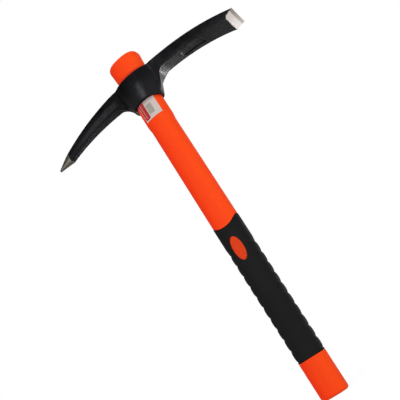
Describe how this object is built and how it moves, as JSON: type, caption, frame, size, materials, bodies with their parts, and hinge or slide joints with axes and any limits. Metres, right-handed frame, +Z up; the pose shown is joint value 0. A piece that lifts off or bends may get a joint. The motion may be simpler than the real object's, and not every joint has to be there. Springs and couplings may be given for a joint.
{
  "type": "pick axe",
  "caption": "Short hand pick axe: a forged steel head with a pick point and a chisel edge, jammed on the flared end of a fibreglass handle with a rubber grip.",
  "frame": {"origin": "middle of the butt's flat end face", "axes": "+Z up the handle to the head, +X along the chisel arm, Y through the tool's thickness; the labelled face looks to -Y"},
  "size_m": [0.2475, 0.035, 0.383],
  "materials": {
    "head_paint": "satin black paint, bare ground steel at the point and the cutting edge",
    "jacket_plastic": "satin orange moulding",
    "core_fibreglass": "pultruded rod, hidden",
    "grip_rubber": "matte",
    "label_paper": "matte, blank"
  },
  "bodies": {
    "root": {"pick_head": "head_paint", "handle_jacket": "jacket_plastic", "handle_core": "core_fibreglass", "grip": "grip_rubber", "label": "label_paper"}
  },
  "joints": []
}
